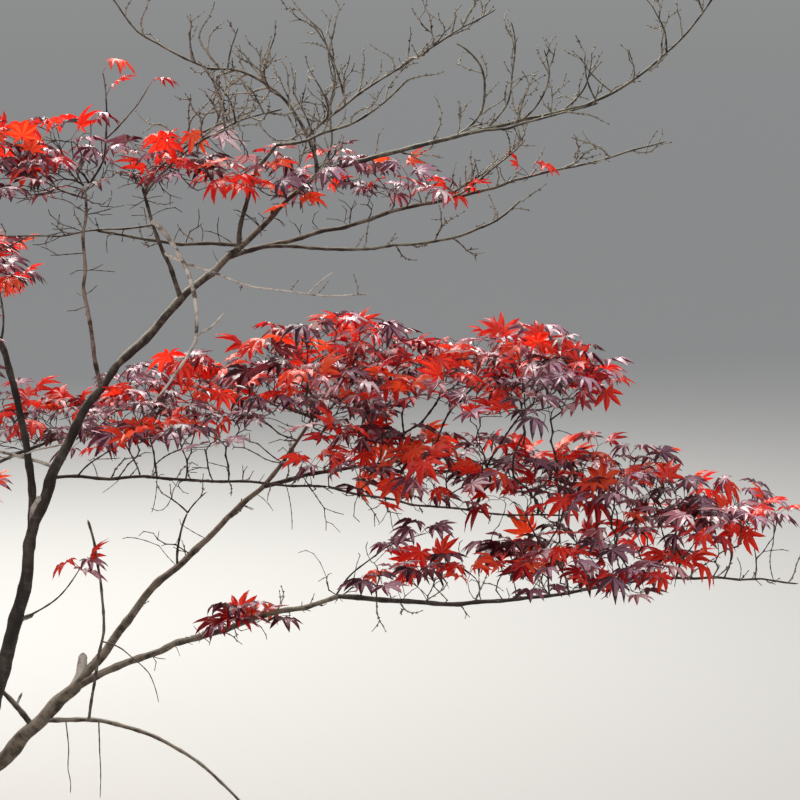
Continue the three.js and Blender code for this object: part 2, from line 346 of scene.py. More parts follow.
def centre_line(node, carrier):
    """A limb's centres and radii from foot to tip, as the frame has them."""
    carrier_places, carrier_radii = limbs[carrier]
    triangles = triangles_of(node)
    corners = triangles.reshape(-1, 3)
    foot = corners[np.argmax(length_of(corners - corners.mean(0)))]
    tip = corners[np.argmax(length_of(corners - foot))]
    if length_of(carrier_places - tip).min() < length_of(carrier_places - foot).min():
        foot, tip = tip, foot
    chord = tip - foot
    length = length_of(chord)
    margin = min(FIRST_SLICE, FOOT_MARGIN * carrier_radii[-1] / length)
    shares = np.linspace(margin, LAST_SLICE, max(LEAST_PLACES, int(length / SLICE_STEP)))
    first = np.array([rim_at(triangles, foot + chord * s, chord / length).mean(0) for s in shares])
    ahead = unit(np.gradient(first, axis=0))
    rims = [rim_at(triangles, place, along, RIM_REACH) for place, along in zip(first, ahead)]
    centres = np.array([rim.mean(0) for rim in rims])
    widest = [length_of(rim - centre).max() for rim, centre in zip(rims, centres)]
    taper = np.polyfit(shares, widest, 1)
    end = centres[-1] + ahead[-1] * length * (1 - shares[-1])
    back = centres[0] - ahead[0] * np.linspace(0, 4 * carrier_radii[-1] + BACK_REACH, 60)[:, None]
    gaps = length_of(back[:, None] - carrier_places[None])
    step = length_of(carrier_places[-1] - carrier_places[-2])
    inside = len(carrier_places) - 1 - int(DEPTH * carrier_radii[-1] / step)
    joint = min(inside, np.unravel_index(gaps.argmin(), gaps.shape)[1])
    centres = np.vstack([carrier_places[joint], centres, end])
    radii = np.polyval(taper, np.concatenate([[0], shares, [1]]))
    return centres, radii, carrier_radii[joint]


def travelled_along(places):
    """How far each place of a line lies from its foot along it."""
    return np.concatenate([[0], np.cumsum(length_of(np.diff(places, axis=0)))])


def read_at(stations, known, values):
    """The rows of values that belong at the stations, from those known along the way."""
    return np.stack([np.interp(stations, known, values[:, axis]) for axis in range(3)], 1)


def evened(places, radii, step, passes):
    """The same line with a place every step, its corners rounded by the given number of passes."""
    travelled = travelled_along(places)
    stations = np.linspace(0, travelled[-1], max(LEAST_PLACES, int(travelled[-1] / step)))
    line = read_at(stations, travelled, places)
    for _ in range(passes):
        ease(line)
    return line, np.interp(stations, travelled, radii), stations


def swayed(line, stations, size):
    """The line with a slow sway and a kink every few centimetres, which both die away at its ends."""
    ends = np.minimum(1, np.minimum(stations, stations[-1] - stations) / SWAY_FADE)[:, None]
    for wave in rng.uniform(*SWAY_WAVE, SWAYS):
        side = unit(rng.normal(size=3))
        line = line + ends * np.sin(2 * math.pi * (stations[:, None] / wave + rng.random())) * size * side
    bends = np.cumsum(rng.uniform(*KINK_SPACING, 2 + int(stations[-1] / KINK_SPACING[0])))
    aside = rng.normal(size=(len(bends), 3)) * KINK
    return line + ends * read_at(stations, bends, aside)


def knobbed(radii, stations, spacing, swell, most, collar=COLLAR):
    """The radii with a swelling at each node, a collar at the foot of at most that size, and a round tip."""
    made = radii * (1 + collar[0] * np.exp(-stations / (collar[1] * radii[0])))
    swell = swell / (1 + radii / STOUT)
    node = rng.uniform(*spacing)
    while node < stations[-1]:
        made = made + radii * swell * np.exp(-(((stations - node) / (NODE_LENGTH + 0.6 * radii)) ** 2))
        node += rng.uniform(*spacing)
    free = np.clip(stations / (4 * most) - 0.3, 0, 1)
    made = np.minimum(made, most) * (1 - free) + made * free
    left = (stations[-1] - stations) / np.maximum(radii[-1], 1e-4)
    return made * np.sqrt(np.clip(left, 0.02, 1))


def new_tree(name, sizes):
    """An empty Geometry Nodes tree with the given inputs, and those inputs by name."""
    tree = bpy.data.node_groups.new(name, "GeometryNodeTree")
    for size, kind in {"Geometry": "Geometry", **sizes}.items():
        tree.interface.new_socket(size, in_out="INPUT", socket_type="NodeSocket" + kind)
    tree.interface.new_socket("Geometry", in_out="OUTPUT", socket_type="NodeSocketGeometry")
    start = tree.nodes.new("NodeGroupInput")
    return tree, {socket.name: Flow(tree, socket) for socket in start.outputs[:-1]}


def close_tree(geometry, skins):
    """Ends a tree in plain geometry: the first skin all over, each other one on the faces marked for it."""
    worn = geometry.make("GeometryNodeRealizeInstances", Geometry=geometry)
    for name, skin in skins.items():
        marked = True if name == "Skin" else worn.named("BOOLEAN", name)
        worn = worn.make("GeometryNodeSetMaterial", Geometry=worn, Material=skin, Selection=marked)
    worn.make("NodeGroupOutput", Geometry=worn)


def wood_tree():
    """Round wood along lines: a ring of Sides at each point, with its radius from thick, and relief."""
    sizes = {"Sides": "Int", "Relief": "Float", "Grain": "Float", "Skin": "Material"}
    tree, size = new_tree("round_wood", sizes)
    lines = size["Geometry"].make("GeometryNodeMeshToCurve", Mesh=size["Geometry"])
    thick = lines.named("FLOAT", "thick")
    ring = lines.make("GeometryNodeCurvePrimitiveCircle", Resolution=size["Sides"], Radius=1.0)
    course = {"Curve": lines, "Profile Curve": ring, "Scale": thick, "Fill Caps": True}
    wood = lines.make("GeometryNodeCurveToMesh", inputs=course)
    place = wood.make("GeometryNodeInputPosition")
    waves = wood.make("ShaderNodeTexNoise", Vector=place, Scale=size["Grain"], Detail=3.0, Roughness=0.6)
    lift = (waves - 0.5) * size["Relief"] * thick
    outward = wood.make("GeometryNodeInputNormal")
    offset = wood.make("ShaderNodeVectorMath", {"operation": "SCALE"}, Vector=outward, Scale=lift)
    uneven = wood.make("GeometryNodeSetPosition", Geometry=wood, Offset=offset)
    smooth = wood.make("GeometryNodeSetShadeSmooth", Geometry=uneven)
    close_tree(smooth, {"Skin": size["Skin"]})
    return tree


def line_mesh(chains):
    """A mesh of lines from (places, radii) chains, with each point's radius and how far along it lies."""
    mesh = bpy.data.meshes.new("lines")
    ends = np.cumsum([len(places) for places, _ in chains])
    stops = set((ends - 1).tolist())
    edges = [(i, i + 1) for i in range(ends[-1]) if i not in stops]
    mesh.from_pydata(np.concatenate([places for places, _ in chains]), edges, [])
    mark(mesh, "thick", "FLOAT", np.concatenate([radii for _, radii in chains]))
    mark(mesh, "along", "FLOAT", np.concatenate([travelled_along(places) for places, _ in chains]))
    return mesh


def grown(name, mesh, tree, sizes):
    """The plain mesh object that a tree makes on the given mesh."""
    ground = object_of(name + "_ground", mesh)
    modifier = ground.modifiers.new("grow", "NODES")
    modifier.node_group = tree
    for item in tree.interface.items_tree:
        if item.in_out == "INPUT" and item.name in sizes:
            modifier[item.identifier] = sizes[item.name]
    graph = bpy.context.evaluated_depsgraph_get()
    made = bpy.data.meshes.new_from_object(
        ground.evaluated_get(graph), preserve_all_data_layers=True, depsgraph=graph
    )
    bpy.data.objects.remove(ground)
    made.name = name
    return object_of(name, made)


round_wood = wood_tree()


def wood_along(name, chains, skin, sides, relief=0.0, grain=90.0):
    """One joined piece of round wood along the chains."""
    sizes = {"Sides": sides, "Relief": relief, "Grain": grain, "Skin": skin}
    return grown(name, line_mesh(chains), round_wood, sizes)


bough_hues = ((0.026, 0.018, 0.013), (0.088, 0.062, 0.044), (0.230, 0.180, 0.128))
shoot_hues = ((0.034, 0.015, 0.012), (0.105, 0.048, 0.036), (0.330, 0.250, 0.200))
upper_hues = ((0.020, 0.014, 0.010), (0.060, 0.045, 0.033), (0.190, 0.158, 0.118))
# The boughs' upper sides take strong painted sunlight, the upper limbs and the upright shoot somewhat less.
bough_looks = {"patches": 0.30, "lichen": 0.06, "relief": 0.0013, "sunlight_paint": 0.95}
bough_bark = bark("bough_bark", bough_hues, **bough_looks)
low_bark = bark("low_bark", bough_hues, **bough_looks, foot=STEM_HUES)
shoot_bark = bark("shoot_bark", shoot_hues, patches=0.30, lichen=-0.10, relief=0.0008, sunlight_paint=0.6)
upper_bark = bark("upper_bark", upper_hues, patches=0.22, lichen=0.06, relief=0.0012, sunlight_paint=0.75)
low_limbs = ("low_bough_rise", "under_bough", "low_fork_up", "drooping_arm", "snag_shoot")
upper_limbs = ("leader_top", "left_arm", "crown_arm", "spreader", "top_bough", "top_tip")
upper_limbs += ("arch_bough", "arch_tip", "rising_bough", "left_top")
barks = {"low_bough": low_bark, "upright_shoot": shoot_bark}
barks.update(dict.fromkeys(low_limbs, bough_bark))
barks.update(dict.fromkeys(upper_limbs, upper_bark))

limbs = {"trunk": (trunk_places[:TRUNK_RINGS], trunk_radii[:TRUNK_RINGS])}
grown_on = [(node, carrier) for carrier, *nodes in LIMBS_ON for node in nodes]
for number, (node, carrier) in enumerate(grown_on):
    # All functions draw from the generator called rng, which each limb and each section sets anew.
    rng = np.random.default_rng(100 + number)
    places, radii, most = centre_line(node, carrier)
    line, radii, stations = evened(places, radii, RING_STEP, LINE_PASSES)
    line = swayed(line, stations, min(SWAY, 0.25 * radii.mean()))
    radii = radii * SLIMMED_OTHERWISE.get(node, SLIMMED)
    limbs[node] = (line, radii)
    spacing = SLIM_LIMB_SPACING if radii.max() < SLIM_LIMB else NODE_SPACING
    collar = STEM_COLLAR if carrier == "trunk" else COLLAR
    knobs = knobbed(radii, stations, spacing, NODE_SWELL, most, collar)
    skin = barks.get(node, stem_bark)
    sides = int(np.clip(radii.max() * SIDES_PER_METRE, *LIMB_SIDES))
    piece = wood_along("bark_" + node, [(line, knobs)], skin, sides, relief=0.22, grain=60.0)
    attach(piece, "root")
    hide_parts(node)

# The slim boughs: the finest limbs, which the long tiers and the bare top hang on, and a few dead and cut
# ones. Live and dead wood are a joined piece each. A row has the limb that a bough leaves and at what share
# of its length, its turn and its rise in degrees at foot and tip, and its length and both its thicknesses in
# millimetres.
SLIM_BOUGHS = (
    ("mid_reach", "mid_bough", 1.0, (2, -6), (-15, 3), 425, (4.0, 2.8)),
    ("spreader_low", "spreader", 0.08, (-7, 9), (-1, 45), 435, (6.0, 3.2), 3),
    ("inner_riser", "leader_top", 0.62, (-59, -7), (84, 49), 185, (7.2, 5.2)),
    ("riser_tip", "inner_riser", 1.0, (-1, 13), (5, 47), 240, (5.0, 3.0)),
    ("curl", "top_bough", 0.42, (17, -17), (0, 157), 225, (4.6, 2.6)),
    ("back_arm", "crown_arm", 0.95, (51, 17), (49, 14), 250, (4.4, 2.8)),
    ("front_arm", "crown_arm", 0.90, (-30, 8), (52, 10), 275, (4.2, 2.6)),
    ("fan_upper", "spreader", 0.38, (14, 2), (8, 50), 250, (4.4, 2.0)),
    ("fan_lower", "spreader", 0.46, (-12, 4), (16, 52), 190, (3.8, 1.8)),
    ("over_bough", "top_bough", 0.52, (-12, 10), (10, 16), 225, (5.0, 2.4)),
    ("tall_shoot_1", "top_bough", 0.60, (20, -10), (45, 108), 185, (3.6, 1.6)),
    ("tall_shoot_2", "top_bough", 0.73, (-20, 15), (32, 112), 130, (3.4, 1.6)),
    ("tall_shoot_3", "top_bough", 0.88, (10, -25), (35, 92), 110, (3.2, 1.4)),
    ("tall_shoot_4", "top_tip", 0.06, (30, -10), (125, 84), 80, (3.0, 1.4)),
    ("tall_shoot_5", "top_tip", 0.16, (-25, 10), (150, 118), 82, (2.8, 1.4)),
    ("tall_shoot_6", "top_tip", 0.48, (15, -15), (88, 136), 95, (3.0, 1.4)),
    ("tall_shoot_7", "top_tip", 0.74, (-15, 20), (118, 100), 65, (2.8, 1.4)),
    ("fork_shoot_1", "rising_bough", 0.12, (-35, 10), (70, 118), 150, (4.0, 1.6)),
    ("fork_shoot_2", "rising_bough", 0.22, (25, -20), (96, 128), 140, (3.6, 1.6)),
    ("fork_shoot_3", "leader_top", 0.985, (-40, 25), (86, 124), 135, (4.4, 1.8)),
    ("fork_shoot_4", "leader_top", 0.975, (35, -30), (48, 128), 170, (4.2, 1.8)),
    ("arch_shoot_1", "arch_bough", 0.86, (0, 25), (84, 66), 70, (3.0, 1.4)),
    ("arch_shoot_2", "arch_tip", 0.10, (180, 30), (70, 78), 75, (3.0, 1.4)),
    ("front_shoot_1", "front_arm", 0.72, (150, 190), (78, 40), 90, (3.0, 1.4)),
    ("front_shoot_2", "front_arm", 0.90, (200, 160), (62, 44), 75, (2.8, 1.4)),
    ("back_shoot", "back_arm", 0.80, (170, 210), (84, 48), 95, (3.0, 1.4)),
    ("high_leaf_twig_1", "upright_shoot", 1.0, (10, -15), (58, 104), 195, (3.6, 1.8)),
    ("high_leaf_twig_2", "high_leaf_twig_1", 0.45, (-10, 10), (38, 62), 110, (2.8, 1.4)),
    ("low_stub", "low_bough", 0.72, (8, -5), (118, 140), 85, (10.0, 7.0)),
    ("left_spur", "left_leader", 0.66, (-20, 10), (70, 128), 125, (3.6, 2.0)),
    ("cross_twig", "crown_arm", 0.66, (188, 176), (-8, 3), 300, (3.4, 1.8)),
    ("cross_twig_low", "cross_twig", 0.66, (190, 170), (-28, -40), 100, (2.4, 1.4)),
    ("leaf_twig_low", "right_stem", 0.70, (-25, 10), (16, 62), 150, (3.4, 1.8)),
    ("rise_fork", "low_bough_rise", 0.56, (-10, 10), (96, 62), 95, (4.2, 2.8)),
    ("rise_fork_left", "rise_fork", 1.0, (0, 15), (132, 152), 58, (2.8, 1.6)),
    ("rise_fork_right", "rise_fork", 1.0, (0, -15), (58, 36), 50, (2.6, 1.6)),
    ("snag_droop", "snag_shoot", 0.42, (-10, 10), (-8, -88), 150, (2.4, 1.2)),
    ("under_hang_1", "drooping_arm", 0.10, (-60, -60), (-70, -97), 125, (2.2, 1.2)),
    ("under_hang_2", "drooping_arm", 0.24, (-60, -60), (-84, -96), 135, (2.2, 1.2)),
    ("star_twig", "upright_shoot", 1.0, (10, -15), (118, 92), 85, (2.6, 1.4)),
    ("star_twig_fork", "star_twig", 0.40, (-10, 10), (50, 96), 85, (2.4, 1.2)),
    ("low_spray_twig", "mid_bough", 0.10, (-30, 10), (52, 4), 150, (3.0, 1.4)),
    ("plum_twig", "under_bough", 0.98, (-25, 5), (58, 14), 195, (3.2, 1.4)),
)
DEAD_WOOD = (
    ("dead_hanger", "crown_arm", 0.67, (-14, -52), (-34, -104), 225, (7.6, 5.8)),
    ("dead_hanger_tip", "dead_hanger", 0.97, (-10, 10), (-114, -146), 155, (5.0, 2.6)),
    ("dead_hanger_spur", "dead_hanger", 0.93, (-20, 10), (26, 50), 60, (3.6, 2.4)),
    ("dead_reach", "crown_arm", 0.42, (-24, 12), (-24, 3), 350, (4.6, 2.0)),
    ("dead_reach_spur", "dead_reach", 0.70, (-10, 10), (52, 30), 55, (2.6, 1.6)),
    ("pale_left_low", "leader", 0.32, (172, 186), (22, 0), 190, (5.8, 3.0)),
    ("pale_left_high", "leader", 0.47, (186, 176), (-18, -6), 120, (3.6, 2.0)),
    ("low_snag", "low_stub", 0.55, (0, 0), (70, 62), 26, (4.6, 3.4)),
    ("cut_stub", "low_bough", 0.96, (5, 60), (54, 92), 66, (15.2, 13.8)),
    ("stem_stub", "right_stem", 0.69, (0, 0), (30, 20), 36, (7.5, 6.5)),
    ("fork_stub", "left_leader", 0.03, (-30, -20), (86, 55), 55, (10.5, 8.5)),
)
LINE_STEPS = 40
SLIM_STEP = 0.004
SLIM_SWAY = 0.0014
SLIM_NODE_SPACING = (0.014, 0.030)
SLIM_SWELL = 0.30
SLIM_COLLAR = 1.5


def place_on(limb, share):
    places = limbs[limb][0]
    return places[round(share * (len(places) - 1))]


def grown_line(limb, share, turn, rise, length, thick, bend=1):
    """A line that turns and rises evenly from its foot on a limb to its tip, or late with a bend over 1."""
    shares = ((np.arange(LINE_STEPS) + 0.5) / LINE_STEPS) ** bend
    turns = np.radians(turn[0] + (turn[1] - turn[0]) * shares)
    rises = np.radians(rise[0] + (rise[1] - rise[0]) * shares)
    ahead = np.stack([np.cos(rises) * np.cos(turns), np.cos(rises) * np.sin(turns), np.sin(rises)], 1)
    start = place_on(limb, share)
    places = np.vstack([start, start + np.cumsum(ahead * (length / 1000) / LINE_STEPS, axis=0)])
    return places, np.linspace(thick[0], thick[1], LINE_STEPS + 1) / 2000


def slim_chain(name, *row):
    """One slim limb, entered among the limbs and given back with its knobs."""
    line, radii, stations = evened(*grown_line(*row), SLIM_STEP, 0)
    line = swayed(line, stations, SLIM_SWAY)
    limbs[name] = (line, radii)
    return line, knobbed(radii, stations, SLIM_NODE_SPACING, SLIM_SWELL, SLIM_COLLAR * radii[0])


rng = np.random.default_rng(7)
live_chains = [slim_chain(*row) for row in SLIM_BOUGHS]
dead_chains = [slim_chain(*row) for row in DEAD_WOOD]
dead_hues = ((0.110, 0.090, 0.068), (0.400, 0.355, 0.285), (0.720, 0.665, 0.575))
dead_bark = bark("dead_bark", dead_hues, patches=0.34, lichen=0.02, relief=0.0007)
slim_wood = {"slim_boughs": (live_chains, upper_bark), "dead_boughs": (dead_chains, dead_bark)}
for name, (chains, skin) in slim_wood.items():
    piece = wood_along(name, chains, skin, sides=8, relief=0.25, grain=120.0)
    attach(piece, "root")

# The bare shoots: short knobbly grey wood that stands up from the bare boughs of the top, and sparsely from
# the lower ones, and forks again and again. A row has the limb, the share of its length at which the shoots
# begin, their spacing and their length in millimetres, and the share at which they end where it isn't 1.
BARE_LIMBS = (
    ("top_bough", 0.2, 42, 85),
    ("top_tip", 0.0, 34, 60, 0.95),
    ("spreader", 0.5, 40, 70),
    ("spreader_low", 0.3, 28, 55),
    ("arch_bough", 0.2, 20, 95),
    ("arch_tip", 0.0, 40, 60, 0.95),
    ("rising_bough", 0.05, 20, 85),
    ("leader_top", 0.8, 22, 100),
    ("riser_tip", 0.1, 26, 80),
    ("curl", 0.1, 30, 50),
    ("back_arm", 0.3, 26, 85),
    ("front_arm", 0.2, 24, 85),
    ("fan_upper", 0.2, 26, 55),
    ("fan_lower", 0.2, 26, 50),
    ("over_bough", 0.2, 36, 60),
    ("tall_shoot_1", 0.2, 20, 45),
    ("tall_shoot_2", 0.2, 20, 40),
    ("tall_shoot_3", 0.2, 20, 36),
    ("tall_shoot_4", 0.2, 18, 26),
    ("tall_shoot_5", 0.2, 18, 26),
    ("tall_shoot_6", 0.2, 18, 28),
    ("tall_shoot_7", 0.2, 18, 24),
    *((f"fork_shoot_{i}", 0.15, 20, 55) for i in (1, 2, 3, 4)),
    *((f"arch_shoot_{i}", 0.2, 22, 30) for i in (1, 2)),
    *((f"front_shoot_{i}", 0.2, 22, 36) for i in (1, 2)),
    ("back_shoot", 0.2, 22, 36),
    ("high_leaf_twig_1", 0.2, 40, 30, 0.9),
    ("cross_twig", 0.15, 34, 45),
    ("dead_reach", 0.3, 60, 30),
    ("left_arm", 0.3, 36, 50),
    ("left_top", 0.25, 60, 50, 0.9),
    ("left_spur", 0.3, 40, 30, 0.9),
    ("mid_bough", 0.15, 42, 50),
    ("mid_reach", 0.1, 38, 50),
    ("under_outer", 0.1, 45, 50),
    ("under_tip", 0.1, 36, 50),
    ("under_bough", 0.55, 60, 40),
    ("low_bough_rise", 0.3, 90, 45, 0.9),
    ("low_fork_right", 0.1, 40, 50),
    ("rise_fork_left", 0.3, 22, 25),
    ("rise_fork_right", 0.3, 22, 25),
)
INTERNODE = 0.0105
INTERNODE_SPREAD = (0.7, 1.3)
FORK_CHANCE = 0.24
FORK_AHEAD = 0.75
FORK_ASIDE = 0.8
FORK_LENGTH = (0.45, 0.95)
SHOOT_WANDER = 0.24
SHOOT_LIFT = 0.07
SHOOT_AHEAD = 0.55
SHOOT_UP = 0.6
SHOOT_TIP = 0.00070
SHOOT_TAPER = 0.00012
SHOOT_FORKS = 2
SHOOT_SPACING = (0.5, 1.5)
SHOOT_LENGTH = (0.45, 1.35)
BUD_REACH = (0.0026, 0.0050)
BUD_AHEAD = 0.7
KNOB = 0.3
FOOT_KNOB = 1.4
NODE_KNOB = 1.45
TIP_KNOB = 0.8
bare_chains = []
bud_rows = []


def set_bud(place, heading):
    turn = math.atan2(heading[1], heading[0])
    rise = math.asin(float(np.clip(heading[2], -1, 1)))
    bud_rows.append((place, (0.0, -rise, turn), rng.uniform(*BUD_REACH), 0))


def bare_shoot(start, heading, length, forks):
    """A shoot of short internodes that wanders up, forks at some of its nodes and ends in a bud."""
    line = [start]
    steps = max(2, round(length / INTERNODE))
    for step in range(steps):
        heading = unit(heading + rng.normal(size=3) * SHOOT_WANDER + UP * SHOOT_LIFT)
        line.append(line[-1] + heading * INTERNODE * rng.uniform(*INTERNODE_SPREAD))
        side = unit(np.cross(heading, rng.normal(size=3)))
        for way in (-1, 1):
            if step < steps - 1:
                set_bud(line[-1], unit(BUD_AHEAD * heading + way * side))
        if forks and 0 < step < steps - 1 and rng.random() < FORK_CHANCE:
            rest = length * (1 - step / steps) * rng.uniform(*FORK_LENGTH)
            bare_shoot(line[-1], unit(FORK_AHEAD * heading + FORK_ASIDE * side), rest, forks - 1)
    set_bud(line[-1], heading)
    radii = SHOOT_TIP + SHOOT_TAPER * np.arange(len(line))[::-1]
    bare_chains.append((np.array(line), radii))


def shoots_along(limb, first, spacing, length, last=1.0):
    """Bare shoots on a limb between two shares of its length, each out to a side and up."""
    line = limbs[limb][0]
    ahead = unit(np.gradient(line, axis=0))
    stations = travelled_along(line)
    at = stations[-1] * first + rng.uniform(0, spacing / 1000)
    while at < stations[-1] * last:
        place = min(np.searchsorted(stations, at), len(line) - 1)
        out = unit(np.cross(ahead[place], rng.normal(size=3)))
        heading = unit(SHOOT_AHEAD * ahead[place] + unit(out + SHOOT_UP * UP))
        reach = length / 1000 * rng.uniform(*SHOOT_LENGTH)
        bare_shoot(line[place], heading, reach, SHOOT_FORKS)
        at += spacing / 1000 * rng.uniform(*SHOOT_SPACING)


def with_knobs(line, radii):
    """A chain with each of its nodes a knob between slimmer stretches."""
    knob = KNOB * np.diff(line, axis=0)
    points, thicks = [line[0]], [radii[0] * FOOT_KNOB]
    for i in range(1, len(line)):
        points += [line[i - 1] + knob[i - 1], line[i] - knob[i - 1], line[i]]
        thicks += [radii[i - 1], radii[i], radii[i] * NODE_KNOB]
    thicks[-1] = radii[-1] * TIP_KNOB
    return np.array(points), np.array(thicks)


rng = np.random.default_rng(53)
for row in BARE_LIMBS:
    shoots_along(*row)
shoot_wood_hues = ((0.030, 0.022, 0.017), (0.110, 0.084, 0.062), (0.360, 0.320, 0.250))
# The bare shoots' upper sides are lightened a little with painted sunlight.
shoot_wood = bark("shoot_wood", shoot_wood_hues, patches=0.32, lichen=0.10, relief=0.0004, sunlight_paint=0.22)
knobbly_chains = [with_knobs(*chain) for chain in bare_chains]
bare_shoots = wood_along("bare_shoots", knobbly_chains, shoot_wood, sides=5)
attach(bare_shoots, "root")

# The buds: small closed pairs at the nodes of the bare shoots and a single one at each tip, red-brown and
# pointed. Each is three-sided and lies along the way that it will grow, and all are one joined piece.
BUD_RINGS = ((0.0, 0.18), (0.4, 0.30))


def bud_form():
    """One bud of length 1 along +X: a narrow foot, a full middle and a sharp tip, of three sides."""
    corners = [(math.cos(turn), math.sin(turn)) for turn in np.arange(3) * 2 * math.pi / 3]
    places = [(along, radius * y, radius * z) for along, radius in BUD_RINGS for y, z in corners]
    faces = [(side, (side + 1) % 3, 3 + (side + 1) % 3, 3 + side) for side in range(3)]
    faces += [(3 + side, 3 + (side + 1) % 3, 6) for side in range(3)] + [(2, 1, 0)]
    return piece_of("bud_form", places + [(1.0, 0.0, 0.0)], faces, None)


def scatter_tree(name, forms, skins):
    """One of the forms at each point, turned and sized by the point's attributes."""
    tree, size = new_tree(name, {skin: "Material" for skin in skins})
    points = size["Geometry"]
    shelf = points.make("GeometryNodeJoinGeometry")
    for form in forms:
        held = {"Object": form, "As Instance": True}
        instance = points.make("GeometryNodeObjectInfo", None, held, "Geometry")
        tree.links.new(instance.socket, shelf.socket.node.inputs[0])
    inputs = {"Points": points, "Instance": shelf, "Pick Instance": True}
    inputs["Instance Index"] = points.named("INT", "form")
    inputs["Rotation"] = points.named("FLOAT_VECTOR", "turn")
    inputs["Scale"] = points.named("FLOAT", "reach")
    placed = points.make("GeometryNodeInstanceOnPoints", inputs=inputs)
    close_tree(placed, {skin: size[skin] for skin in skins})
    return tree


def point_mesh(rows):
    """Points from (place, turn, reach, form) rows."""
    places, turns, reaches, picks = zip(*rows)
    mesh = bpy.data.meshes.new("points")
    mesh.from_pydata(places, [], [])
    mark(mesh, "turn", "FLOAT_VECTOR", turns)
    mark(mesh, "reach", "FLOAT", reaches)
    mark(mesh, "form", "INT", picks)
    return mesh


form = bud_form()
bud_hues = ((0.030, 0.014, 0.012), (0.110, 0.066, 0.048), (0.240, 0.190, 0.140))
bud_skin = bark("bud_skin", bud_hues, patches=0.26, lichen=0.0, relief=0.0003)
bud_scatter = scatter_tree("bud_scatter", [form], ["Skin"])
buds = grown("buds", point_mesh(bud_rows), bud_scatter, {"Skin": bud_skin})
bpy.data.objects.remove(form)
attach(buds, "root")

# The twigs of the tiers: fine dark wood that leaves the boughs at their buds and forks outwards and up until
# it fills its tier. The place that is cheapest to reach is reached next, from the twig with the shortest way
# to it. A twig's thickness follows from how many tips it carries. Each tier is one joined piece.
# A tier has the masses that it fills, the limbs that it leaves, the spacing of its tips, the share of its
# height that is bare below, how ragged it is, the share of its tips without leaves, and how many times as
# often its dusky tints are dealt, which paints shade on the tiers that stand in shadow and light on the
# sunlit ones.
TIERS = {
    "middle": (
        ("mid_left", "mid_inner", "mid_centre", "mid_outer", "mid_lower"),
        ("inner_arm", "mid_bough", "mid_reach", "low_bough_rise", "low_fork_up", "low_fork_right"),
        0.034, 0.14, 0.03, 0.45, 1.0,
    ),
    "right": (
        ("right_upper", "right_tip", "right_lower", "under_inner", "under_spray"),
        ("low_fork_right", "under_bough", "under_outer", "under_tip"),
        0.032, 0.05, 0.03, 0.41, 1.7,
    ),
    "upper": (
        ("upper_left", "upper_mid"),
        ("left_arm", "crown_arm", "back_arm", "front_arm", "upright_shoot"),
        0.033, 0.10, 0.03, 0.40, 0.9,
    ),
    "upper_end": (
        ("upper_right", "upper_outer"),
        ("leader_top", "spreader"),
        0.042, 0.04, 0.03, 0.26, 1.5,
    ),
}
PHOTOGRAPHED = tuple(TIERS)
UNSEEN = (0.039, 0.12, 0.16, 0.18, 1.0)
crown = ("crown_top", "crown_back", "crown_side", "crown_front")
TIERS["crown"] = (crown, ("left_top", "left_leader"), *UNSEEN)
for i, tier_count in ((1, 3), (2, 3), (3, 2)):
    masses = tuple(f"{height}_tier_{i}" for height in ("low", "high", "middle")[:tier_count])
    carriers = tuple(f"{limb}_{i}" for limb in ("far_stem", "far_arm", "middle_arm")[:tier_count])
    TIERS[f"far_{i}"] = (masses, carriers, *UNSEEN)
BUD_SPACING = 0.030
BUD_SHIFT = 0.3
BUD_START = 0.12
MASS_SKIN = 0.016
TRIES_A_PLACE = 22
LEAST_TRIES = 300
LAYER = 0.042
LAYER_PULL = 0.65
BARE_SPREAD = 0.08
FANNED = 4
FAN_SHARE = (0.25, 0.80)
FAN_REACH = 0.30
FAN_SCATTER = 0.008
TWIG_STEP = 0.015
STEEPNESS = 1.25
DETOUR = 0.55
TWIG_BEND = 0.32
TWIG_WANDER = 0.14
TWIG_TIP = 0.00062
TWIG_POWER = 0.36


def goals_in(mass, spacing, ragged):
    """Places spread evenly through a mass of the frame, drawn to its level layers, and each one's height."""
    low, high = (np.array(corner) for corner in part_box(mass))
    half = (high - low) / 2 - MASS_SKIN
    tries = int(TRIES_A_PLACE * np.prod(half) / spacing**3) + LEAST_TRIES
    ball = unit(rng.normal(size=(tries, 3))) * rng.random((tries, 1)) ** (1 / 3)
    turn = np.arctan2(ball[:, 1], ball[:, 0])
    bays = np.sin(3 * turn + rng.uniform(0, 6)) + 0.7 * np.sin(5 * turn + rng.uniform(0, 6)) - 0.6
    ball[:, :2] *= (1 + ragged * bays)[:, None]
    places = (low + high) / 2 + ball * half
    kept = places[:1]
    for place in places[1:]:
        if length_of(kept - place).min() > spacing:
            kept = np.vstack([kept, place])
    swell = 0.5 * np.sin(9 * kept[:, 0] + 2) * np.sin(11 * kept[:, 1])
    layer = (kept[:, 2] - high[2] + 0.3 * LAYER) / LAYER + swell
    kept[:, 2] -= LAYER_PULL * LAYER * (layer - np.round(layer))
    return kept, (kept[:, 2] - low[2]) / (high[2] - low[2])


def fan_goals(goals, buds):
    """Places on the way from each bud to a few of the goals near it, which the twigs reach first."""
    made = []
    for bud in buds:
        near = goals[length_of(goals - bud) < FAN_REACH]
        for goal in near[rng.permutation(len(near))[:FANNED]]:
            share = rng.uniform(*FAN_SHARE)
            made.append(bud + share * (goal - bud) + rng.normal(size=3) * FAN_SCATTER)
    return np.array(made)


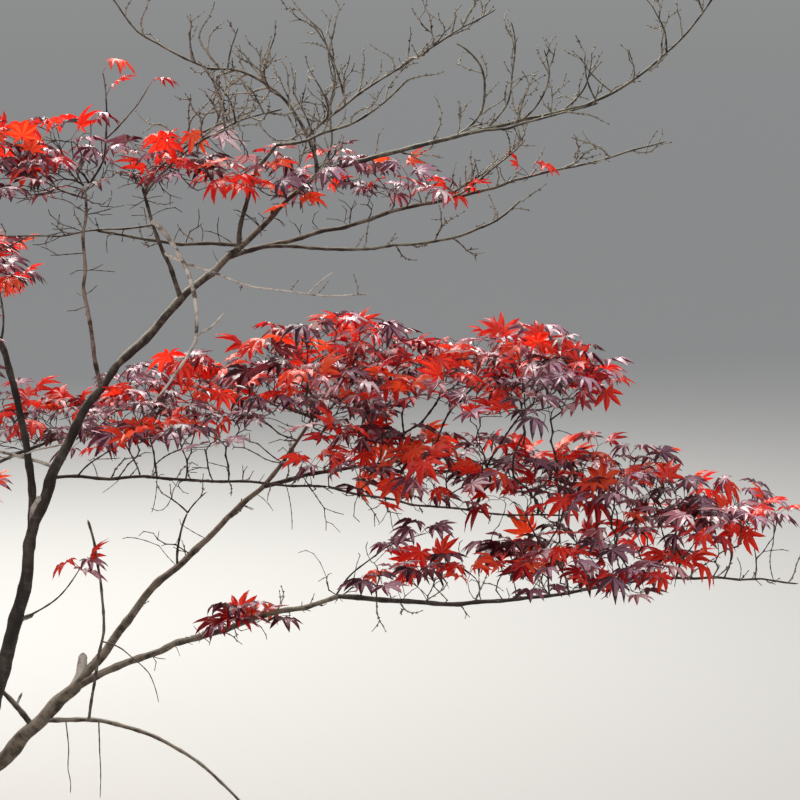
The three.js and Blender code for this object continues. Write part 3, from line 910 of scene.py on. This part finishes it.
def buds_on(limb):
    """Places along a limb's outer part where twigs may start."""
    line = limbs[limb][0]
    stations = travelled_along(line)
    at = np.arange(BUD_START * stations[-1], stations[-1], BUD_SPACING)
    at = np.append(at + rng.uniform(-BUD_SHIFT, BUD_SHIFT, len(at)) * BUD_SPACING, stations[-1])
    return line[np.searchsorted(stations, np.clip(at, 0, stations[-1] - 1e-6))]


def reach_for(goals, buds):
    """Twigs from the buds to the goals: each node's place, what it grew from, its heading and its goal."""
    flat = np.array([1, 1, STEEPNESS])
    places = list(buds)
    carrier = [-1] * len(buds)
    ahead = [np.zeros(3)] * len(buds)
    path = [0.0] * len(buds)
    goal_of = [-1] * len(buds)
    away = length_of((goals[:, None] - buds[None]) * flat)
    best, cost = away.argmin(1), away.min(1)
    for _ in goals:
        goal = int(cost.argmin())
        foot = int(best[goal])
        cost[goal] = np.inf
        span = goals[goal] - places[foot]
        length = length_of(span)
        aside = TWIG_BEND * ahead[foot] + rng.normal(size=3) * TWIG_WANDER
        bow = places[foot] + 0.5 * span + length * aside
        steps = max(1, round(length / TWIG_STEP))
        for share in (np.arange(steps) + 1) / steps:
            place = (1 - share) ** 2 * places[foot] + 2 * share * (1 - share) * bow + share**2 * goals[goal]
            below = foot if share * steps < 1.5 else len(places) - 1
            heading = unit(place - places[below])
            carrier.append(below)
            path.append(path[below] + length_of(place - places[below]))
            places.append(place)
            ahead.append(heading)
            goal_of.append(goal if share == 1 else -1)
            price = length_of((goals - place) * flat) + DETOUR * path[-1]
            better = (price < cost) & np.isfinite(cost)
            best[better] = len(places) - 1
            cost[better] = price[better]
    return np.array(places), np.array(carrier), np.array(ahead), np.array(goal_of)


def tips_beyond(carrier):
    """How many tips each node carries."""
    load = np.ones(len(carrier), int)
    load[np.unique(carrier[carrier >= 0])] = 0
    for node in range(len(carrier) - 1, -1, -1):
        if carrier[node] >= 0:
            load[carrier[node]] += load[node]
    return load


def twig_chains(places, carrier, load):
    """The twigs as unbroken lines, each going on through the fork that carries the most tips."""
    forks = [[] for _ in places]
    for node, below in enumerate(carrier):
        if below >= 0:
            forks[below].append(node)
    waiting = [(bud, node) for bud in np.flatnonzero(carrier < 0) for node in forks[bud]]
    chains = []
    while waiting:
        foot, node = waiting.pop()
        run = [foot, node]
        while forks[node]:
            heir = max(forks[node], key=lambda fork: load[fork])
            waiting += [(node, fork) for fork in forks[node] if fork != heir]
            run.append(heir)
            node = heir
        carried = load[run].astype(float)
        carried[0] = carried[1]
        chains.append((places[run], TWIG_TIP * carried**TWIG_POWER))
    return chains


twig_hues = ((0.022, 0.013, 0.011), (0.060, 0.036, 0.028), (0.180, 0.140, 0.105))
twig_bark = bark("twig_bark", twig_hues, patches=0.16, lichen=0.02, relief=0.0004)
twigs = []
for number, (tier, (masses, carriers, spacing, bare, ragged, *leafing)) in enumerate(TIERS.items()):
    rng = np.random.default_rng(200 + number)
    filled = [goals_in(mass, spacing, ragged) for mass in masses]
    goals, heights = (np.concatenate(part) for part in zip(*filled))
    buds = np.vstack([buds_on(limb) for limb in carriers])
    fans = fan_goals(goals, buds)
    places, carrier, ahead, goal_of = reach_for(np.vstack([goals, fans]), buds)
    load = tips_beyond(carrier)
    clear = heights > rng.normal(bare, BARE_SPREAD, len(heights))
    leafy = np.append(clear, np.zeros(len(fans) + 1, bool))
    twigs.append((places, ahead, load, leafy[goal_of], *leafing))
    chains = twig_chains(places, carrier, load)
    if tier in PHOTOGRAPHED:
        chains = [with_knobs(*chain) for chain in chains]
    piece = wood_along("twigs_" + tier, chains, twig_bark, sides=4)
    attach(piece, "root")
    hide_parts(*masses)

# The leaves: thin blades of seven long pointed lobes, each folded along its rib. They grow in opposite pairs
# at the tips of the twigs, most of them level and drooping like an umbrella, some of the reddest held up.
# The leaves at one place share a tint, from scarlet to plum and mauve, partly their own colours and partly
# painted light, and each tint is one joined piece. Each lobe has a lit side and a side in painted shade.
LOBES = ((-128, 0.42), (-80, 0.78), (-39, 0.95), (0, 1.0), (39, 0.95), (80, 0.78), (128, 0.42))
SINUS = 0.30
FOOT_SINUS = 0.13
FOOT_TURN = 0.45
FORK_LIFT = 0.02
LOBE_SHOULDERS = ((0.46, 0.150), (0.76, 0.098))
# Each form of leaf has its droop, its fold and how far its lobes lean, in degrees.
LEAF_FORMS = ((0.34, 0.75, 6), (0.50, 0.60, -8), (0.22, 0.85, 3))
LEAF_FORMS += ((0.68, 0.70, 10), (0.10, 0.55, -4), (0.42, 0.90, 8))
LEAF_REACH = (0.034, 0.052)
STALK = (0.018, 0.034)
STALK_ASIDE = 0.75
STALK_AHEAD = (0.1, 0.6)
STALK_UP = (0.15, 0.6)
STALK_BOW = (0.001, 0.005)
STALK_THICK = 0.00055
STALK_TAPER = (1.0, 0.9, 0.7)
FACING_SPREAD = 0.25
ROLL_SPREAD = 14
RAISED_TILT = (-58, 16)
FLAT_FORMS = (2, 4)
MOST_TIPS = 2
SIDE_SPREAD = 0.3
LONE_RAISED = 0.9
LONE_ASIDE = (0.6, 1.4)
LONE_FORWARD = (0.1, 0.8)
FORK_LEAFLESS = 0.30
PAIRED = 0.82
GLOW = (1.3, 0.8, 0.6)
DUSKY = ("burgundy", "plum", "mauve")
# Each tint has its share of the leaves, its lit hue and its darker hue of painted shade, the share of light
# that comes through, the mean and the spread of its tilt in degrees, and the share of its leaves that are
# held up.
# The scarlet and orange are partly the leaves' own red and partly a painted glow of leaves lit from behind;
# the mauve and rose are partly their own hue and partly a painted sheen of the sky reflected on their faces.
TINTS = {
    "scarlet": (0.24, (0.95, 0.058, 0.026), (0.66, 0.018, 0.012), 0.46, (14, 24), 0.42),
    "orange": (0.12, (1.00, 0.130, 0.040), (0.84, 0.052, 0.018), 0.46, (16, 26), 0.42),
    "crimson": (0.16, (0.62, 0.026, 0.032), (0.22, 0.005, 0.009), 0.40, (4, 14), 0.15),
    "burgundy": (0.11, (0.170, 0.026, 0.042), (0.036, 0.004, 0.008), 0.28, (2, 10), 0),
    "plum": (0.14, (0.270, 0.120, 0.180), (0.048, 0.010, 0.020), 0.22, (0, 8), 0),
    "mauve": (0.18, (0.560, 0.330, 0.430), (0.140, 0.036, 0.062), 0.20, (0, 8), 0),
    "rose": (0.10, (0.880, 0.700, 0.735), (0.450, 0.140, 0.180), 0.18, (0, 9), 0),
}


def leaf_form(name, droop, fold, lean):
    """One leaf of reach 1, its middle at the origin and its middle lobe along +X."""
    flat, ribs, faces = [(0.0, 0.0)], [], []
    turns = [math.radians(turn) for turn, _ in LOBES]
    between = [0.5 * (turn + other) for turn, other in zip(turns, turns[1:])]
    notches = [turns[0] - FOOT_TURN, *between, turns[-1] + FOOT_TURN]
    for side, turn in enumerate(notches):
        reach = SINUS if 0 < side < len(LOBES) else FOOT_SINUS
        flat.append((reach * math.cos(turn), reach * math.sin(turn)))
    heights = [0.0] + [FORK_LIFT] * (len(LOBES) + 1)
    for number, (turn, (_, length)) in enumerate(zip(turns, LOBES)):
        before, after = number + 1, number + 2
        first = len(flat)
        for share, width in (*LOBE_SHOULDERS, (1.0, 0.0)):
            bent = turn + math.radians(lean) * share**2 * (1 if number % 2 else -0.6)
            out = np.array([math.cos(bent), math.sin(bent)])
            across = np.array([-out[1], out[0]])
            for side in (0, 1, -1) if width else (0,):
                flat.append(tuple(out * share * length + across * side * width * length))
                heights.append(abs(side) * width * length * fold)
        near, left, right, far, far_left, far_right, tip = range(first, first + 7)
        faces += [(0, near, left, after), (near, far, far_left, left), (far, tip, far_left)]
        faces += [(0, before, right, near), (near, right, far_right, far), (far, far_right, tip)]
        ribs += [{0, near}, {near, far}, {far, tip}]
    places = []
    for (x, y), lift in zip(flat, heights):
        out = math.hypot(x, y)
        drawn_in = 1 - 0.25 * droop * out
        places.append((x * drawn_in, y * drawn_in, lift - droop * out**1.7))
    form = piece_of(name, places, faces, None)
    sharp = form.data.attributes.new("sharp_edge", "BOOLEAN", "EDGE")
    sharp.data.foreach_set("value", [set(edge.vertices) in ribs for edge in form.data.edges])
    # Painted shade: the faces of each lobe past its first two or three wear the tint's darker hue, so each
    # lobe shows a lit and a shaded side.
    dark = form.data.attributes.new("Dark Skin", "BOOLEAN", "FACE")
    lit_faces = 2 if droop > 0.3 else 3
    dark.data.foreach_set("value", [face % 6 >= lit_faces for face in range(len(faces))])
    return form


def leaf_skin(name, hue, through):
    """A thin blade, glossy on its face, that glows a purer red with the light behind it."""
    glow = (*np.minimum(1, np.multiply(hue, GLOW)), 1)

    def draw(flow):
        blade = flow.make("ShaderNodeBsdfPrincipled", inputs={"Base Color": (*hue, 1), "Roughness": 0.42})
        lit = flow.make("ShaderNodeBsdfTranslucent", Color=glow)
        return flow.make("ShaderNodeMixShader", inputs={0: through, 1: blade, 2: lit})

    return finish_with(name, draw)


# The small sprays that stand alone: the limb, and for each spray the share of the limb's length, the tint
# and the number of leaves.
LONE_SPRAYS = (
    ("spreader", (0.69, "scarlet", 2)),
    ("high_leaf_twig_1", (1.0, "orange", 1), (0.80, "scarlet", 1), (0.30, "mauve", 2)),
    ("high_leaf_twig_2", (1.0, "crimson", 1)),
    ("left_spur", (1.0, "scarlet", 1), (0.70, "orange", 1), (0.85, "mauve", 1)),
    ("leaf_twig_low", (1.0, "scarlet", 2), (0.90, "rose", 1)),
    ("fan_upper", (0.30, "scarlet", 1)),
    ("spreader", (0.52, "scarlet", 2)),
    ("under_bough", (0.585, "crimson", 2), (0.60, "mauve", 2), (0.63, "crimson", 2), (0.69, "rose", 1)),
    ("leaf_twig_low", (0.96, "mauve", 1)),
    ("star_twig", (1.0, "scarlet", 1), (0.80, "mauve", 1)),
    ("star_twig_fork", (1.0, "mauve", 1), (0.92, "crimson", 1)),
    ("low_spray_twig", (1.0, "orange", 1), (0.92, "mauve", 2), (0.74, "crimson", 1)),
    ("low_spray_twig", (0.66, "mauve", 2), (0.45, "scarlet", 2)),
    ("mid_reach", (0.40, "plum", 2), (0.52, "mauve", 1)),
    ("plum_twig", (1.0, "plum", 2), (0.93, "mauve", 2), (0.60, "mauve", 1)),
)
forms = [leaf_form(f"leaf_form_{i}", *form) for i, form in enumerate(LEAF_FORMS)]
leaf_scatter = scatter_tree("leaf_scatter", forms, ["Skin", "Dark Skin"])
rng = np.random.default_rng(31)
leaves = {tint: [] for tint in TINTS}
stalks = []
shares = np.array([share for share, *_ in TINTS.values()])
dusky = np.isin(list(TINTS), DUSKY)


def hang_leaf(tint, node, heading, side, raised=0):
    """One leaf on its stalk, out to a side of the twig and up, its blade level, tipped out or raised."""
    *_, tilt, upright = TINTS[tint]
    out = unit(STALK_ASIDE * side + rng.uniform(*STALK_AHEAD) * heading + rng.uniform(*STALK_UP) * UP)
    middle = node + out * rng.uniform(*STALK)
    bow = node + 0.5 * (middle - node) + UP * rng.uniform(*STALK_BOW)
    stalks.append((np.array([node, bow, middle]), STALK_THICK * np.array(STALK_TAPER)))
    tipped = rng.normal(*tilt)
    form = rng.integers(len(LEAF_FORMS))
    facing = math.atan2(out[1], out[0]) + rng.normal(0, FACING_SPREAD)
    if rng.random() < max(raised, upright):
        tipped = rng.normal(*RAISED_TILT)
        form = rng.choice(FLAT_FORMS)
    turn = (math.radians(rng.normal(0, ROLL_SPREAD)), math.radians(tipped), facing)
    leaves[tint].append((middle, turn, rng.uniform(*LEAF_REACH), form))


for places, ahead, load, leafy, leafless, shade_weight in twigs:
    for node in np.flatnonzero(leafy & (load <= MOST_TIPS)):
        if rng.random() < leafless + (0 if load[node] == 1 else FORK_LEAFLESS):
            continue
        # Painted shade: a tier's weight deals its dusky tints more or less often.
        dealt = shares * np.where(dusky, shade_weight, 1)
        tint = list(TINTS)[rng.choice(len(dealt), p=dealt / dealt.sum())]
        heading = ahead[node]
        side = unit(np.cross(heading, UP) + 1e-6)
        side = unit(side * rng.choice([-1, 1]) + SIDE_SPREAD * rng.normal(size=3))
        hang_leaf(tint, places[node], heading, side)
        if rng.random() < PAIRED:
            hang_leaf(tint, places[node], heading, -side)

for limb, *sprays in LONE_SPRAYS:
    for share, tint, count in sprays:
        for number in range(count):
            way = rng.uniform(*LONE_ASIDE) * (-1) ** number
            side = unit(np.array([way, -rng.uniform(*LONE_FORWARD), 0.2]))
            raised = LONE_RAISED if tint == "scarlet" else 0
            hang_leaf(tint, place_on(limb, share), UP * 0.5, side, raised)

# Each tint makes two materials: its lit hue and its darker hue of painted shade.
for tint, (_, lit, dark, through, *_) in TINTS.items():
    skins = {
        "Skin": leaf_skin("leaf_" + tint, lit, through),
        "Dark Skin": leaf_skin("leaf_" + tint + "_painted_shade", dark, through),
    }
    piece = grown("leaves_" + tint, point_mesh(leaves[tint]), leaf_scatter, skins)
    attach(piece, "root")
for form in forms:
    bpy.data.objects.remove(form)

# The leaf stalks: fine red stems that bow from the nodes of the twigs up to the middle of each leaf. They
# are made like the twigs, with three sides, and are one joined piece.


def plain(name, colour, roughness):
    """A material of one colour."""
    looks = {"Base Color": (*colour, 1), "Roughness": roughness}
    return finish_with(name, lambda flow: flow.make("ShaderNodeBsdfPrincipled", inputs=looks))


stalk_red = plain("stalk_red", (0.26, 0.020, 0.030), 0.5)
leaf_stalks = wood_along("leaf_stalks", stalks, stalk_red, sides=3)
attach(leaf_stalks, "root")

# The studio: a plain pale floor that runs out to a grey background, a broad soft key light above and behind
# the tree, so that it glows through the leaves, and a wide fill from the front. The camera looks down a
# little from in front, from the height and distance that match the picture.
EYE = (0.841, -3.961, 1.5467)
EYE_TILT = 82
LENS = 109.09
SENSOR = 36
FLOOR_REACH = 400
FLOOR_DROP = 0.001

scene = bpy.context.scene
camera = object_of("camera", bpy.data.cameras.new("camera"))
camera.data.sensor_width = SENSOR
camera.data.lens = LENS
camera.location = EYE
camera.rotation_euler = (math.radians(EYE_TILT), 0, 0)
scene.camera = camera

corners = [(x * FLOOR_REACH, y * FLOOR_REACH, -FLOOR_DROP) for x, y in ((-1, -1), (1, -1), (1, 1), (-1, 1))]
floor = piece_of("floor", corners, [(0, 1, 2, 3)], plain("floor", (0.40, 0.397, 0.390), 0.9))


def area_light(name, place, target, size, power, colour):
    """A square light that faces its target."""
    light = object_of(name, bpy.data.lights.new(name, "AREA"))
    light.data.size = size
    light.data.energy = power
    light.data.color = colour
    light.location = place
    away = unit(np.array(place) - np.array(target))
    level = math.atan2(math.hypot(away[0], away[1]), away[2])
    light.rotation_euler = (level, 0, math.atan2(away[1], away[0]) + math.pi / 2)


area_light("key", (-0.8, 3.3, 4.4), (0.3, 0, 1.0), 3.0, 480, (1.0, 0.965, 0.90))
area_light("fill", (-3.0, -4.2, 4.2), (0.4, 0, 0.9), 3.0, 120, (0.97, 0.98, 1.0))

world = bpy.data.worlds.new("studio")
world.use_nodes = True
sky = Flow(world.node_tree, world.node_tree.nodes["Background"].outputs[0])
direction = sky.make("ShaderNodeTexCoord", output="Generated")
height = sky.make("ShaderNodeSeparateXYZ", inputs={0: direction}, output="Z")
shade = height.clamped(0.0, 1.0).tinted((0.256, 0.2582, 0.2602), (0.74, 0.755, 0.78))
world.node_tree.links.new(shade.socket, sky.socket.node.inputs["Color"])
scene.world = world
scene.view_settings.view_transform = "Standard"
